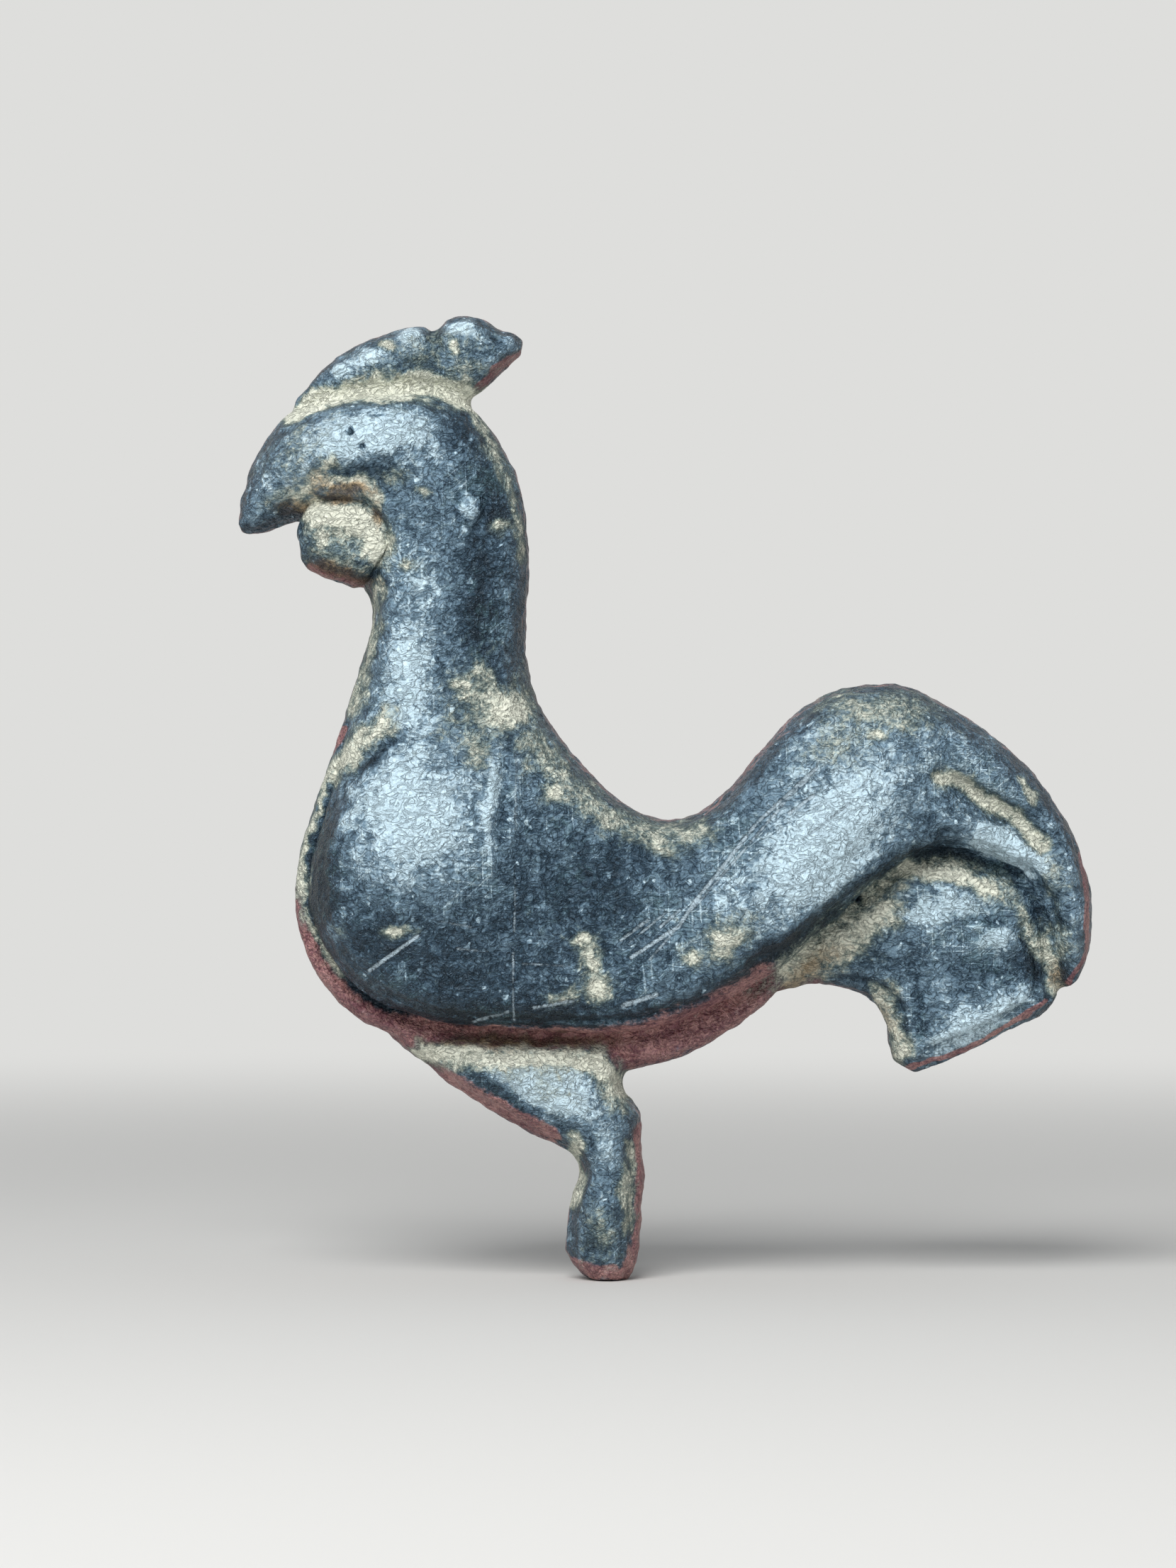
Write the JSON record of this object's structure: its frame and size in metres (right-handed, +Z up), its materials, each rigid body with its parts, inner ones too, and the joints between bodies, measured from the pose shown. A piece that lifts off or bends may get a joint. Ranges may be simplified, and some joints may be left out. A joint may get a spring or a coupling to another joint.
{
  "type": "rooster figurine",
  "caption": "Small patinated bronze rooster standing on one leg stub, with a raised comb, wattles, an S-shaped flank and a down-curved tail with a separate lower feather.",
  "frame": {"origin": "middle of the flat end of the leg stub", "axes": "+Z up along the shank, the rooster faces -X, +Y to its right across its thickness, and y = 0 is the seam plane"},
  "size_m": [0.0398, 0.012, 0.045],
  "materials": {
    "dark_patina": "semi-gloss blue-black patina with pale bloom and cream deposits in the hollows",
    "worn_patina": "dark patina worn to reddish brown along the edges",
    "earthy_patina": "dark patina mostly under matt cream and ochre deposit"
  },
  "bodies": {
    "root": {"left_body_half": "dark_patina", "right_body_half": "dark_patina", "comb": "worn_patina", "left_wattle": "earthy_patina", "right_wattle": "earthy_patina", "leg": "worn_patina", "lower_tail_feather": "dark_patina"}
  },
  "joints": []
}
